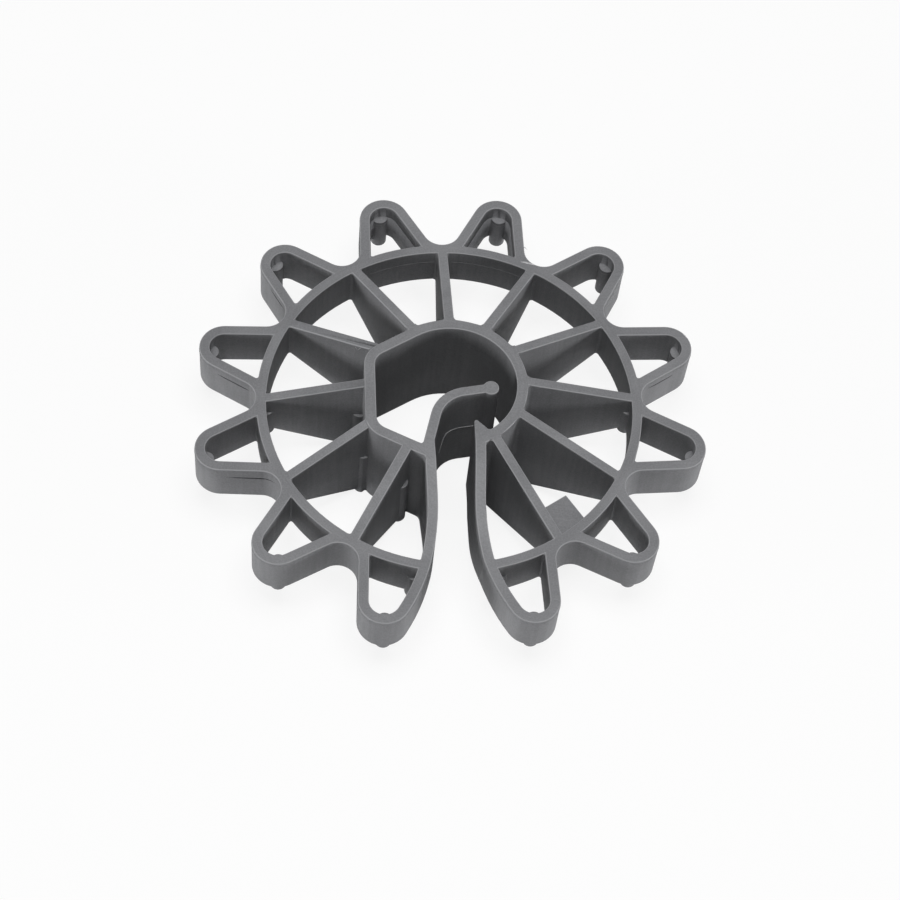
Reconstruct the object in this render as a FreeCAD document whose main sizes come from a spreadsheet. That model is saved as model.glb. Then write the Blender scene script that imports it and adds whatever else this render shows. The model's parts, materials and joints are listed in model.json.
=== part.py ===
import FreeCAD, Part
import math
import os
import Sketcher

# Rebar wheel spacer, moulded in one piece.
# Millimetres and degrees. Z is the wheel's axis, Z = 0 is the lower end of the hub,
# and the slot for the bar opens toward -Y. Directions round the wheel are compass angles
# from +Y, positive toward +X.

doc = FreeCAD.newDocument("WheelSpacer")

sizes = {
    # wheel
    "overall_diameter": 120,
    "rim_lift": 9.2,
    "rim_height": 10.8,
    "rim_wall": 2.4,
    "slot_sector": 35.5,
    "lobe_tip_radius": 5.9,
    "valley_radius": 4.5,
    "valley_floor": 0.2,
    "ring_bore": 84.7,
    "ring_wall": 2.3,
    # hub and bar seat
    "hub_height": 28,
    "hub_bore": 29.8,
    "hub_wall": 2.5,
    "seat_flat": 17.5,
    "seat_floor": 17.9,
    "seat_corner_radius": 3.5,
    "roof_slope": 30,
    "floor_slope": 28,
    # webs between hub and ring
    "web_thickness": 2.3,
    # slot, a little wider at the hub than at its narrowest
    "slot_width": 8.4,
    "slot_flare": 0.4,
    "slot_straight": 28,
    "slot_wall_top": 15.2,
    # springy tongue
    "tongue_thickness": 2.3,
    "tongue_stem": 6.9,
    "tongue_lean": 14.5,
    "tongue_bend_radius": 8,
    "tongue_tip_angle": 81,
    "tongue_reach": 8.85,
    "bead_radius": 1.85,
    # lip opposite the tongue
    "lip_drop": 10.1,
    "lip_radius": 0.45,
    "lip_slope": 45,
    "notch_radius": 0.9,
    # ejector bosses and marking tab, which start at the mould's parting plane
    "parting_height": 15.5,
    "boss_radius": 1.9,
    "boss_proud": 2.1,
    "flat_boss_reach": 20.7,
    "corner_boss_reach": 22.8,
    "floor_boss_reach": 22.2,
    "hub_boss_foot": 0.2,
    "tab_start": 32.9,
    "tab_width": 9.8,
    "tab_thickness": 1.6,
}

sheet = doc.addObject("Spreadsheet::Sheet", "Sizes")
for row, (alias, value) in enumerate(sizes.items(), start=1):
    sheet.set(f"A{row}", alias)
    sheet.set(f"B{row}", str(value))
    sheet.setAlias(f"B{row}", alias)
doc.recompute()

body = doc.addObject("PartDesign::Body", "wheel_spacer")
body.Label = "wheel_spacer"

# Derived sizes, as expressions on the sheet
lobe_count = 12
pitch = f"((360 - Sizes.slot_sector) / {lobe_count - 1})"
mid_height = "Sizes.hub_height / 2"
rim_bottom = "Sizes.rim_lift"
rim_middle = "Sizes.rim_lift + Sizes.rim_height / 2"
rim_top = "Sizes.rim_lift + Sizes.rim_height"
tip_centre = "(Sizes.overall_diameter / 2 - Sizes.lobe_tip_radius)"
ring_inner = "(Sizes.ring_bore / 2)"
ring_outer = "(Sizes.ring_bore / 2 + Sizes.ring_wall)"
ring_middle = "(Sizes.ring_bore / 2 + Sizes.ring_wall / 2)"
valley_centre = f"({ring_outer} + Sizes.valley_floor + Sizes.valley_radius)"
bore_radius = "(Sizes.hub_bore / 2)"
hub_radius = "(Sizes.hub_bore / 2 + Sizes.hub_wall)"
floor_radius = "(Sizes.seat_floor + Sizes.hub_wall)"
slot_side = "(Sizes.slot_width / 2)"
mouth_side = "(Sizes.slot_width / 2 + Sizes.slot_flare)"
mouth_wall_middle = f"({mouth_side} + Sizes.rim_wall / 2)"
mouth_wall_back = f"({mouth_side} + Sizes.rim_wall)"
end_lobe_turn = "(Sizes.slot_sector / 2)"
end_valley_turn = f"(Sizes.slot_sector / 2 + {pitch} / 2)"


def number(expression):
    return float(sheet.evalExpression(expression))


def polar(radius, compass):
    turn = math.radians(compass)
    return radius * math.sin(turn), radius * math.cos(turn)


def step(point, length, angle):
    turn = math.radians(angle)
    return point[0] + length * math.cos(turn), point[1] + length * math.sin(turn)


def line_to_circle(point, angle, radius):
    # how far along a line the circle about the axis lies
    turn = math.radians(angle)
    along = point[0] * math.cos(turn) + point[1] * math.sin(turn)
    return -along + math.sqrt(along ** 2 - point[0] ** 2 - point[1] ** 2 + radius ** 2)


def origin_feature(role):
    return [feature for feature in body.Origin.OriginFeatures if feature.Role == role][0]


class Outline:
    """A sketch on an origin plane, whose dimensions are bound to the sheet."""

    ORIGIN = (-1, 1)
    UPRIGHT_AXIS = -2

    def __init__(self, name, role="XY_Plane", lift=None, turn=None):
        self.sketch = body.newObject("Sketcher::SketchObject", name)
        self.sketch.AttachmentSupport = [(origin_feature(role), "")]
        self.sketch.MapMode = "FlatFace"
        axis = FreeCAD.Vector(0, 0, 1) if role == "XY_Plane" else FreeCAD.Vector(0, 1, 0)
        if turn:
            rotation = FreeCAD.Rotation(axis, number(turn))
            self.sketch.AttachmentOffset = FreeCAD.Placement(FreeCAD.Vector(0, 0, 0), rotation)
            self.sketch.setExpression("AttachmentOffset.Rotation.Angle", turn)
        if lift:
            self.sketch.setExpression("AttachmentOffset.Base.z", lift)

    def line(self, start, end):
        return self.sketch.addGeometry(Part.LineSegment(FreeCAD.Vector(*start), FreeCAD.Vector(*end)))

    def arc(self, centre, radius, first, last):
        circle = Part.Circle(FreeCAD.Vector(*centre), FreeCAD.Vector(0, 0, 1), radius)
        return self.sketch.addGeometry(Part.ArcOfCircle(circle, math.radians(first), math.radians(last)))

    def circle(self, centre, radius):
        return self.sketch.addGeometry(Part.Circle(FreeCAD.Vector(*centre), FreeCAD.Vector(0, 0, 1), radius))

    def rule(self, kind, *references):
        self.sketch.addConstraint(Sketcher.Constraint(kind, *references))

    def join(self, *ends):
        self.rule("Coincident", *ends)

    def smooth(self, *ends):
        self.rule("Tangent", *ends)

    def about_axis(self, *arcs):
        for arc in arcs:
            self.join(arc, 3, *self.ORIGIN)

    def drive(self, name, expression, kind, *references):
        constraint = Sketcher.Constraint(kind, *references, number(expression))
        index = self.sketch.addConstraint(constraint)
        self.sketch.renameConstraint(index, name)
        self.sketch.setExpression("Constraints." + name, expression)

    def right_of_axis(self, name, expression, *point):
        self.drive(name, expression, "DistanceX", *self.ORIGIN, *point)

    def left_of_axis(self, name, expression, *point):
        self.drive(name, expression, "DistanceX", *point, *self.ORIGIN)

    def above_axis(self, name, expression, *point):
        self.drive(name, expression, "DistanceY", *self.ORIGIN, *point)

    def below_axis(self, name, expression, *point):
        self.drive(name, expression, "DistanceY", *point, *self.ORIGIN)

    def radial(self, line, *centres):
        # a line that points at the axis, through the centres given
        self.rule("PointOnObject", *self.ORIGIN, line)
        for centre in centres:
            self.rule("PointOnObject", centre, 3, line)


def pad(name, outline, length, symmetric=True, downward=False):
    feature = body.newObject("PartDesign::Pad", name)
    feature.Profile = outline.sketch
    feature.setExpression("Length", length)
    feature.SideType = "Symmetric" if symmetric else "One side"
    feature.Reversed = downward
    outline.sketch.Visibility = False
    doc.recompute()
    return feature


def repeat(name, feature, count):
    pattern = body.newObject("PartDesign::PolarPattern", name)
    pattern.Originals = [feature]
    pattern.Axis = (origin_feature("Z_Axis"), [""])
    pattern.Mode = "Spacing"
    pattern.setExpression("Offset", pitch)
    pattern.Occurrences = count
    pattern.Reversed = True
    body.Tip = pattern
    doc.recompute()
    return pattern


def mirror(name, feature):
    mirrored = body.newObject("PartDesign::Mirrored", name)
    mirrored.Originals = [feature]
    mirrored.MirrorPlane = (origin_feature("YZ_Plane"), [""])
    body.Tip = mirrored
    doc.recompute()
    return mirrored


# Sizes that shape the lobes: the flank touches the tip arc and the valley arc
half_pitch = number(pitch) / 2
tip_reach = number(tip_centre)
tip_radius = number("Sizes.lobe_tip_radius")
valley_reach = number(valley_centre)
valley_radius = number("Sizes.valley_radius")
wall = number("Sizes.rim_wall")
bore = number(ring_inner)
ring = number(ring_outer)
valley_x, valley_y = polar(valley_reach, half_pitch)
valley_gap = math.hypot(valley_x, valley_y - tip_reach)
valley_bearing = math.degrees(math.atan2(valley_x, valley_y - tip_reach))
flank_normal = valley_bearing - math.degrees(math.acos((tip_radius + valley_radius) / valley_gap))


# Slot walls, which run from the hub to the tips of the two end lobes
def end_lobe():
    half = number(slot_side)
    mouth = number(mouth_side)
    straight = number("Sizes.slot_straight")
    top = number("Sizes.slot_wall_top")
    lobe = 180 - number(end_lobe_turn)
    valley_compass = lobe - half_pitch
    tip = polar(tip_reach, lobe)
    valley = polar(valley_reach, valley_compass)
    across = tip[0] - half
    down = -tip[1] - straight
    sweep = (across ** 2 + down ** 2 - tip_radius ** 2) / (2 * (across - tip_radius))
    centre = (half + sweep, -straight)
    meet = 360 + math.degrees(math.atan2(tip[1] - centre[1], tip[0] - centre[0]))
    flank = 90 - lobe + flank_normal + 360
    inner_sweep = sweep - wall

    def wall_angle(radius):
        # where the wall's back face crosses a circle about the axis, seen from the axis
        reach = math.hypot(*centre)
        cosine = (radius ** 2 + reach ** 2 - inner_sweep ** 2) / (2 * radius * reach)
        bearing = math.degrees(math.atan2(centre[1], centre[0]))
        return bearing - math.degrees(math.acos(cosine))

    def wall_sweep(radius):
        # the same crossing, seen from the centre of the wall's curve
        crossing = step((0, 0), radius, wall_angle(radius))
        return 360 + math.degrees(math.atan2(crossing[1] - centre[1], crossing[0] - centre[0]))

    inner_tip = step(tip, tip_radius - wall, flank)
    inner_length = line_to_circle(inner_tip, flank + 90, ring)
    inner_root = step(inner_tip, inner_length, flank + 90)
    inner_root_angle = math.degrees(math.atan2(inner_root[1], inner_root[0]))
    radial_angle = 90 - valley_compass
    valley_root = polar(valley_reach - valley_radius, valley_compass)

    outline = Outline("end_lobe_outline", lift=mid_height)
    face = outline.line((mouth, -top), (half, -straight))
    curve = outline.arc(centre, sweep, 180, meet)
    nose = outline.arc(tip, tip_radius, meet, flank)
    side = outline.line(step(tip, tip_radius, flank), step(valley, valley_radius, flank - 180))
    dip = outline.arc(valley, valley_radius, radial_angle - 180, flank - 540)
    cut = outline.line(valley_root, polar(bore, valley_compass))
    base = outline.arc((0, 0), bore, wall_angle(bore), radial_angle)
    back_curve = outline.arc(centre, inner_sweep, 180, wall_sweep(bore))
    back_face = outline.line((half + wall, -straight), (mouth + wall, -top))
    cap = outline.line((mouth + wall, -top), (mouth, -top))
    outline.right_of_axis("mouth_side", mouth_side, face, 1)
    outline.below_axis("wall_top", "Sizes.slot_wall_top", face, 1)
    outline.right_of_axis("slot_side", slot_side, face, 2)
    outline.below_axis("straight_end", "Sizes.slot_straight", face, 2)
    outline.smooth(face, 2, curve, 1)
    outline.smooth(curve, 2, nose, 1)
    outline.drive("tip_radius", "Sizes.lobe_tip_radius", "Radius", nose)
    outline.right_of_axis("tip_x", f"{tip_centre} * sin({end_lobe_turn})", nose, 3)
    outline.below_axis("tip_y", f"{tip_centre} * cos({end_lobe_turn})", nose, 3)
    outline.smooth(nose, 2, side, 1)
    outline.smooth(side, 2, dip, 2)
    outline.drive("valley_radius", "Sizes.valley_radius", "Radius", dip)
    outline.right_of_axis("valley_x", f"{valley_centre} * sin({end_valley_turn})", dip, 3)
    outline.below_axis("valley_y", f"{valley_centre} * cos({end_valley_turn})", dip, 3)
    outline.join(dip, 1, cut, 1)
    outline.radial(cut, dip)
    outline.join(cut, 2, base, 2)
    outline.about_axis(base)
    outline.drive("ring_inner", ring_inner, "Radius", base)
    outline.join(base, 1, back_curve, 2)
    outline.join(back_curve, 3, curve, 3)
    outline.smooth(back_curve, 1, back_face, 1)
    outline.join(back_face, 2, cap, 1)
    outline.join(cap, 2, face, 1)
    outline.rule("Horizontal", cap)
    outline.drive("wall", "Sizes.rim_wall", "DistanceX", cap, 2, cap, 1)

    hole_curve = outline.arc(centre, inner_sweep, wall_sweep(ring), meet)
    hole_nose = outline.arc(tip, tip_radius - wall, meet, flank)
    hole_side = outline.line(inner_tip, inner_root)
    hole_base = outline.arc((0, 0), ring, wall_angle(ring), inner_root_angle)
    outline.join(hole_curve, 3, curve, 3)
    outline.rule("Equal", hole_curve, back_curve)
    outline.smooth(hole_curve, 2, hole_nose, 1)
    outline.join(hole_nose, 3, nose, 3)
    outline.smooth(hole_nose, 2, hole_side, 1)
    outline.rule("Parallel", hole_side, side)
    outline.join(hole_side, 2, hole_base, 2)
    outline.about_axis(hole_base)
    outline.drive("ring_outer", ring_outer, "Radius", hole_base)
    outline.join(hole_base, 1, hole_curve, 1)
    return pad("end_lobe", outline, "Sizes.hub_height")


# The slot walls slope down, above and below, from the hub's height to the rim's
def slot_wall_slope():
    start = number(floor_radius)
    height = number("Sizes.hub_height")
    far = number("Sizes.overall_diameter")
    outline = Outline("slope_outline", role="XZ_Plane")
    for side, level in (("top", rim_top), ("bottom", rim_bottom)):
        edge = height if side == "top" else 0
        beyond = 2 * height if side == "top" else -height
        corners = [(start, edge), (bore, number(level)), (far, number(level)), (far, beyond), (start, beyond)]
        lines = [outline.line(corners[i], corners[(i + 1) % 5]) for i in range(5)]
        for i in range(5):
            outline.join(lines[i], 2, lines[(i + 1) % 5], 1)
        outline.rule("Horizontal", lines[1])
        outline.rule("Vertical", lines[2])
        outline.rule("Horizontal", lines[3])
        outline.rule("Vertical", lines[4])
        outline.right_of_axis(side + "_start", floor_radius, lines[0], 1)
        outline.right_of_axis(side + "_end", ring_inner, lines[0], 2)
        outline.above_axis(side + "_level", level, lines[1], 1)
        outline.right_of_axis(side + "_far", "Sizes.overall_diameter", lines[2], 1)
        if side == "top":
            outline.above_axis("top_edge", "Sizes.hub_height", lines[0], 1)
            outline.above_axis("top_limit", "2 * Sizes.hub_height", lines[3], 1)
        else:
            outline.rule("PointOnObject", lines[0], 1, -1)
            outline.below_axis("bottom_limit", "Sizes.hub_height", lines[3], 1)
    groove = body.newObject("PartDesign::Groove", "slot_wall_slope")
    groove.Profile = outline.sketch
    groove.ReferenceAxis = (outline.sketch, ["V_Axis"])
    groove.Angle = 360
    outline.sketch.Visibility = False
    doc.recompute()
    return groove


# One lobe with its stretch of the ring, repeated between the end lobes
def lobe():
    tip = (0, tip_reach)
    valley_angle = 90 - half_pitch
    right = 90 - flank_normal
    left = 90 + flank_normal
    right_tip = step(tip, tip_radius, right)
    left_tip = step(tip, tip_radius, left)
    inner_right = step(tip, tip_radius - wall, right)
    inner_left = step(tip, tip_radius - wall, left)
    root_length = line_to_circle(inner_right, right - 90, ring)
    root_right = step(inner_right, root_length, right - 90)
    root_left = (-root_right[0], root_right[1])
    root_angle = math.degrees(math.atan2(root_right[1], root_right[0]))
    root = valley_reach - valley_radius

    turn = f"{pitch} * {(lobe_count - 3) / 2}"
    outline = Outline("lobe_outline", lift=rim_middle, turn=turn)
    nose = outline.arc(tip, tip_radius, right, left)
    right_side = outline.line(right_tip, step((valley_x, valley_y), valley_radius, right + 180))
    right_dip = outline.arc((valley_x, valley_y), valley_radius, right + 180, valley_angle + 180)
    right_cut = outline.line(polar(root, half_pitch), polar(bore, half_pitch))
    base = outline.arc((0, 0), bore, valley_angle, 180 - valley_angle)
    left_cut = outline.line(polar(bore, -half_pitch), polar(root, -half_pitch))
    left_dip = outline.arc((-valley_x, valley_y), valley_radius, 360 - valley_angle, left + 180)
    left_side = outline.line(step((-valley_x, valley_y), valley_radius, left + 180), left_tip)
    outline.rule("PointOnObject", nose, 3, outline.UPRIGHT_AXIS)
    outline.above_axis("tip_y", tip_centre, nose, 3)
    outline.drive("tip_radius", "Sizes.lobe_tip_radius", "Radius", nose)
    outline.smooth(nose, 1, right_side, 1)
    outline.smooth(right_side, 2, right_dip, 1)
    outline.drive("valley_radius", "Sizes.valley_radius", "Radius", right_dip)
    outline.right_of_axis("valley_x", f"{valley_centre} * sin({pitch} / 2)", right_dip, 3)
    outline.above_axis("valley_y", f"{valley_centre} * cos({pitch} / 2)", right_dip, 3)
    outline.join(right_dip, 2, right_cut, 1)
    outline.radial(right_cut, right_dip)
    outline.join(right_cut, 2, base, 1)
    outline.about_axis(base)
    outline.drive("ring_inner", ring_inner, "Radius", base)
    outline.rule("Symmetric", right_dip, 3, left_dip, 3, outline.UPRIGHT_AXIS)
    outline.rule("Equal", right_dip, left_dip)
    outline.smooth(nose, 2, left_side, 2)
    outline.smooth(left_side, 1, left_dip, 2)
    outline.join(left_dip, 1, left_cut, 2)
    outline.radial(left_cut, left_dip)
    outline.join(left_cut, 1, base, 2)

    hole_nose = outline.arc(tip, tip_radius - wall, right, left)
    hole_right = outline.line(inner_right, root_right)
    hole_base = outline.arc((0, 0), ring, root_angle, 180 - root_angle)
    hole_left = outline.line(root_left, inner_left)
    outline.join(hole_nose, 3, nose, 3)
    outline.drive("hole_radius", "Sizes.lobe_tip_radius - Sizes.rim_wall", "Radius", hole_nose)
    outline.smooth(hole_nose, 1, hole_right, 1)
    outline.rule("Parallel", hole_right, right_side)
    outline.join(hole_right, 2, hole_base, 1)
    outline.about_axis(hole_base)
    outline.drive("ring_outer", ring_outer, "Radius", hole_base)
    outline.join(hole_base, 2, hole_left, 1)
    outline.smooth(hole_nose, 2, hole_left, 2)
    outline.rule("Parallel", hole_left, left_side)
    return pad("lobe", outline, "Sizes.rim_height")


# A radial web, as tall as the hub at one end and as the rim at the other
def web(name, turn, shoulder):
    start = number(shoulder)
    inner = number(hub_radius) - number("Sizes.hub_wall") / 2
    outer = number(ring_middle)
    top = number("Sizes.hub_height")
    upper = number(rim_top)
    lower = number(rim_bottom)
    corners = [(inner, 0), (start, 0), (bore, lower), (outer, lower)]
    corners += [(outer, upper), (bore, upper), (start, top), (inner, top)]
    outline = Outline(name + "_outline", role="YZ_Plane", turn=turn)
    lines = [outline.line(corners[i], corners[(i + 1) % 8]) for i in range(8)]
    for i in range(8):
        outline.join(lines[i], 2, lines[(i + 1) % 8], 1)
    for level in (0, 2, 4, 6):
        outline.rule("Horizontal", lines[level])
    for upright in (3, 7):
        outline.rule("Vertical", lines[upright])
    outline.rule("PointOnObject", lines[0], 1, -1)
    outline.right_of_axis("root", f"{hub_radius} - Sizes.hub_wall / 2", lines[0], 1)
    outline.right_of_axis("lower_shoulder", shoulder, lines[1], 1)
    outline.right_of_axis("upper_shoulder", shoulder, lines[5], 2)
    outline.right_of_axis("lower_ring", ring_inner, lines[1], 2)
    outline.right_of_axis("upper_ring", ring_inner, lines[5], 1)
    outline.right_of_axis("end", ring_middle, lines[3], 1)
    outline.above_axis("lower_level", rim_bottom, lines[2], 1)
    outline.above_axis("upper_level", rim_top, lines[4], 1)
    outline.above_axis("hub_level", "Sizes.hub_height", lines[6], 1)
    return pad(name, outline, "Sizes.web_thickness")


# The seat's outline: a round side for the bar, a flat side with two sloping walls
def seat_outline(name, thickness, left_end):
    grow = number(thickness)
    radius = number(bore_radius) + grow
    flat = number("Sizes.seat_flat") + grow
    floor = number("Sizes.seat_floor") + grow
    corner = number("Sizes.seat_corner_radius") + grow
    roof_turn = math.radians(number("Sizes.roof_slope"))
    floor_turn = math.radians(number("Sizes.floor_slope"))
    inset = flat - corner
    upper = (-inset, (radius - corner - inset * math.sin(roof_turn)) / math.cos(roof_turn))
    lower = (-inset, (inset * math.sin(floor_turn) - floor + corner) / math.cos(floor_turn))
    roof_angle = 90 + math.degrees(roof_turn)
    floor_angle = 270 - math.degrees(floor_turn)
    end_x = number(left_end)
    end = (-end_x, (end_x * math.sin(floor_turn) - floor) / math.cos(floor_turn))
    start_x = number(mouth_wall_middle if grow else mouth_side)
    start_angle = -math.degrees(math.acos(start_x / radius))

    outline = Outline(name, lift=mid_height)
    round_side = outline.arc((0, 0), radius, start_angle, roof_angle)
    roof = outline.line(step((0, 0), radius, roof_angle), step(upper, corner, roof_angle))
    upper_corner = outline.arc(upper, corner, roof_angle, 180)
    flat_side = outline.line((-flat, upper[1]), (-flat, lower[1]))
    lower_corner = outline.arc(lower, corner, 180, floor_angle)
    floor_side = outline.line(step(lower, corner, floor_angle), end)
    outline.about_axis(round_side)
    outline.drive("radius", f"{bore_radius} + {thickness}", "Radius", round_side)
    outline.left_of_axis("roof_x", f"({bore_radius} + {thickness}) * sin(Sizes.roof_slope)", round_side, 2)
    outline.smooth(round_side, 2, roof, 1)
    outline.smooth(roof, 2, upper_corner, 1)
    outline.drive("corner", f"Sizes.seat_corner_radius + {thickness}", "Radius", upper_corner)
    outline.smooth(upper_corner, 2, flat_side, 1)
    outline.rule("Vertical", flat_side)
    outline.left_of_axis("flat", f"Sizes.seat_flat + {thickness}", flat_side, 1)
    outline.smooth(flat_side, 2, lower_corner, 1)
    outline.rule("Equal", upper_corner, lower_corner)
    floor_width = f"(Sizes.seat_corner_radius + {thickness}) * sin(Sizes.floor_slope)"
    outline.drive("floor_turn", floor_width, "DistanceX", lower_corner, 2, lower_corner, 3)
    outline.smooth(lower_corner, 2, floor_side, 1)
    outline.drive("floor", f"Sizes.seat_floor + {thickness}", "Distance", *outline.ORIGIN, floor_side)
    outline.left_of_axis("floor_end", left_end, floor_side, 2)
    return outline, round_side, floor_side, step((0, 0), radius, start_angle), end


def hub():
    seat = seat_outline("hub_outline", "Sizes.hub_wall", mouth_wall_middle)
    outline, round_side, floor_side, start, end = seat
    closing = outline.line(end, start)
    outline.join(floor_side, 2, closing, 1)
    outline.join(closing, 2, round_side, 1)
    outline.right_of_axis("round_start", mouth_wall_middle, round_side, 1)
    return pad("hub", outline, "Sizes.hub_height")


# The space for the bar, with the throat that leads into the slot
def bar_space():
    outline, round_side, floor_side, start, end = seat_outline("bar_space_outline", "0", mouth_wall_back)
    mouth = number(mouth_side)
    top = number("Sizes.slot_wall_top")
    throat_depth = "(Sizes.seat_floor + 2 * Sizes.hub_wall)"
    narrowing = f"(Sizes.slot_straight - {throat_depth}) / (Sizes.slot_straight - Sizes.slot_wall_top)"
    throat_side = f"{slot_side} + Sizes.slot_flare * {narrowing}"
    depth = number(throat_depth)
    throat = number(throat_side)
    corners = [end, (end[0], -top), (-mouth, -top), (-throat, -depth), (throat, -depth), (mouth, -top), start]
    lines = [outline.line(corners[i], corners[i + 1]) for i in range(6)]
    outline.join(floor_side, 2, lines[0], 1)
    for i in range(5):
        outline.join(lines[i], 2, lines[i + 1], 1)
    outline.join(lines[5], 2, round_side, 1)
    for upright in (0, 5):
        outline.rule("Vertical", lines[upright])
    for level in (1, 3):
        outline.rule("Horizontal", lines[level])
    outline.below_axis("stub_top", "Sizes.slot_wall_top", lines[1], 1)
    outline.left_of_axis("stub_side", mouth_side, lines[1], 2)
    outline.below_axis("throat_depth", throat_depth, lines[3], 1)
    outline.left_of_axis("throat_left", throat_side, lines[3], 1)
    outline.right_of_axis("throat_right", throat_side, lines[3], 2)
    outline.right_of_axis("lip_side", mouth_side, lines[4], 2)
    outline.below_axis("lip_foot", "Sizes.slot_wall_top", lines[4], 2)
    pocket = body.newObject("PartDesign::Pocket", "bar_space")
    pocket.Profile = outline.sketch
    pocket.SideType = "Symmetric"
    pocket.setExpression("Length", "2 * Sizes.hub_height")
    outline.sketch.Visibility = False
    doc.recompute()
    return pocket


# The tongue: a leaning stem on the left slot wall, a bend, and a tip with a bead
def tongue():
    mouth = number(mouth_side)
    top = number("Sizes.slot_wall_top")
    thickness = number("Sizes.tongue_thickness")
    bend = number("Sizes.tongue_bend_radius")
    bead = number("Sizes.bead_radius")
    lean = 90 - number("Sizes.tongue_lean")
    tip = 90 - number("Sizes.tongue_tip_angle")
    corner = (-mouth, -top)
    right_foot = step(corner, -wall, lean)
    left_foot = step(right_foot, thickness, lean + 90)
    right_bend = step(corner, number("Sizes.tongue_stem"), lean)
    left_bend = step(right_bend, thickness, lean + 90)
    inner = bend - thickness / 2
    outer = bend + thickness / 2
    centre = step(right_bend, inner, lean - 90)
    middle = step(centre, bend, tip + 90)
    reach = (number("Sizes.tongue_reach") - middle[0]) / math.cos(math.radians(tip))
    bead_centre = step(middle, reach, tip)
    opening = math.degrees(math.asin(thickness / 2 / bead))

    outline = Outline("tongue_outline", lift=mid_height)
    right_stem = outline.line(right_foot, right_bend)
    right_curve = outline.arc(centre, inner, tip + 90, lean + 90)
    right_neck = step(bead_centre, bead, tip + 180 + opening)
    right_tip = outline.line(step(centre, inner, tip + 90), right_neck)
    knob = outline.arc(bead_centre, bead, tip + 180 + opening, tip + 540 - opening)
    left_neck = step(bead_centre, bead, tip + 180 - opening)
    left_tip = outline.line(left_neck, step(centre, outer, tip + 90))
    left_curve = outline.arc(centre, outer, tip + 90, lean + 90)
    left_stem = outline.line(left_bend, left_foot)
    foot = outline.line(left_foot, right_foot)
    outline.smooth(right_stem, 2, right_curve, 2)
    outline.smooth(right_curve, 1, right_tip, 1)
    outline.join(right_tip, 2, knob, 1)
    outline.join(knob, 2, left_tip, 1)
    outline.smooth(left_tip, 2, left_curve, 1)
    outline.smooth(left_curve, 2, left_stem, 1)
    outline.join(left_stem, 2, foot, 1)
    outline.join(foot, 2, right_stem, 1)
    outline.join(left_curve, 3, right_curve, 3)
    outline.rule("Perpendicular", foot, right_stem)
    outline.rule("Parallel", right_tip, left_tip)
    inner_bend = "(Sizes.tongue_bend_radius - Sizes.tongue_thickness / 2)"
    outer_bend = "(Sizes.tongue_bend_radius + Sizes.tongue_thickness / 2)"
    outline.drive("inner_bend", inner_bend, "Radius", right_curve)
    outline.drive("outer_bend", outer_bend, "Radius", left_curve)
    outline.left_of_axis("foot_x", f"{mouth_side} + Sizes.rim_wall * sin(Sizes.tongue_lean)", right_stem, 1)
    foot_drop = "Sizes.slot_wall_top + Sizes.rim_wall * cos(Sizes.tongue_lean)"
    outline.below_axis("foot_y", foot_drop, right_stem, 1)
    stem_run = "(Sizes.tongue_stem + Sizes.rim_wall)"
    outline.drive("stem_x", f"{stem_run} * sin(Sizes.tongue_lean)", "DistanceX", right_stem, 1, right_stem, 2)
    outline.drive("stem_y", f"{stem_run} * cos(Sizes.tongue_lean)", "DistanceY", right_stem, 1, right_stem, 2)
    rise = f"{inner_bend} * sin(Sizes.tongue_tip_angle)"
    outline.drive("tip_rise", rise, "DistanceY", right_curve, 3, right_curve, 1)
    outline.drive("bead", "Sizes.bead_radius", "Radius", knob)
    outline.drive("bead_offset", "Sizes.tongue_thickness / 2", "Distance", knob, 3, left_tip)
    outline.right_of_axis("reach", "Sizes.tongue_reach", knob, 3)
    return pad("tongue", outline, "Sizes.hub_height")


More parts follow.
